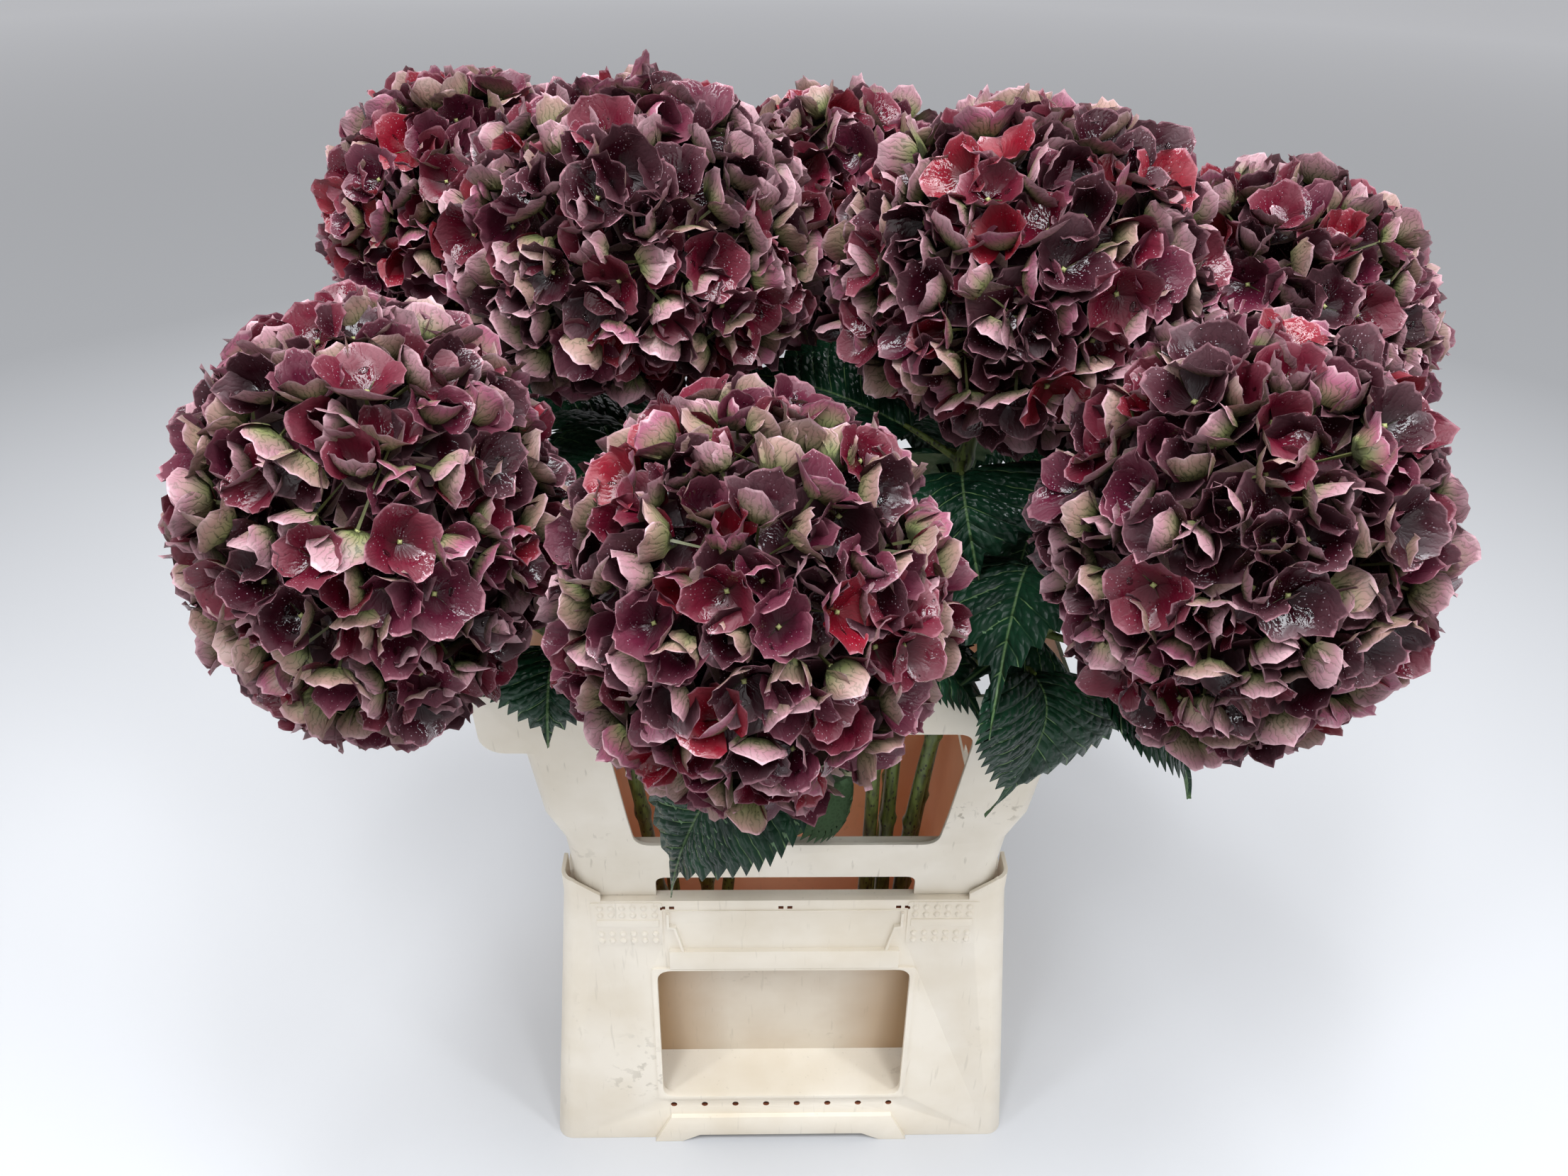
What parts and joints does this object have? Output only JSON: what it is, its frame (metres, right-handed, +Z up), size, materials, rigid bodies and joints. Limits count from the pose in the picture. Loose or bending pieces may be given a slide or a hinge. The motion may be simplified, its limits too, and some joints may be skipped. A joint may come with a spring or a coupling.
{
  "type": "cut hydrangea stems in a plastic flower container",
  "caption": "Cut mophead hydrangea stems with large round flower heads and toothed leaves, standing in a footed plastic bucket with a loose flared collar.",
  "frame": {"origin": "on the floor, under the middle of the bucket, on the flat underside of its tub", "axes": "+Z up, +X along the container's long side, -Y towards the front that the flower heads lean over"},
  "size_m": [0.7939, 0.6426, 0.8642],
  "materials": {
    "container": "moulded cream plastic, matt, scuffed and marked by use",
    "stem": "green woody stems, smooth, brown at the joints",
    "leaf": "dark green leaves, waxy, quilted between the veins",
    "petal": "deep wine sepals with dusty pink and olive backs, satin and damp"
  },
  "bodies": {
    "root": {"bucket": "container", "collar": "container", "stem_front_left": "stem", "leaves_front_left": "leaf", "head_front_left": "petal", "stem_front_centre": "stem", "stem_front_centre_upper": "stem", "leaves_front_centre_lower": "leaf", "leaves_front_centre": "leaf", "head_front_centre": "petal", "stem_front_right": "stem", "stem_front_right_upper": "stem", "leaves_front_right_lower": "leaf", "leaves_front_right": "leaf", "head_front_right": "petal", "stem_middle_left": "stem", "leaves_middle_left": "leaf", "head_middle_left": "petal", "stem_middle_centre": "stem", "leaves_middle_centre": "leaf", "head_middle_centre": "petal", "stem_middle_right": "stem", "leaves_middle_right": "leaf", "head_middle_right": "petal", "stem_back_left": "stem", "leaves_back_left": "leaf", "head_back_left": "petal", "stem_back_centre": "stem", "leaves_back_centre": "leaf", "head_back_centre": "petal", "stem_back_right": "stem", "leaves_back_right": "leaf", "head_back_right": "petal"}
  },
  "joints": []
}
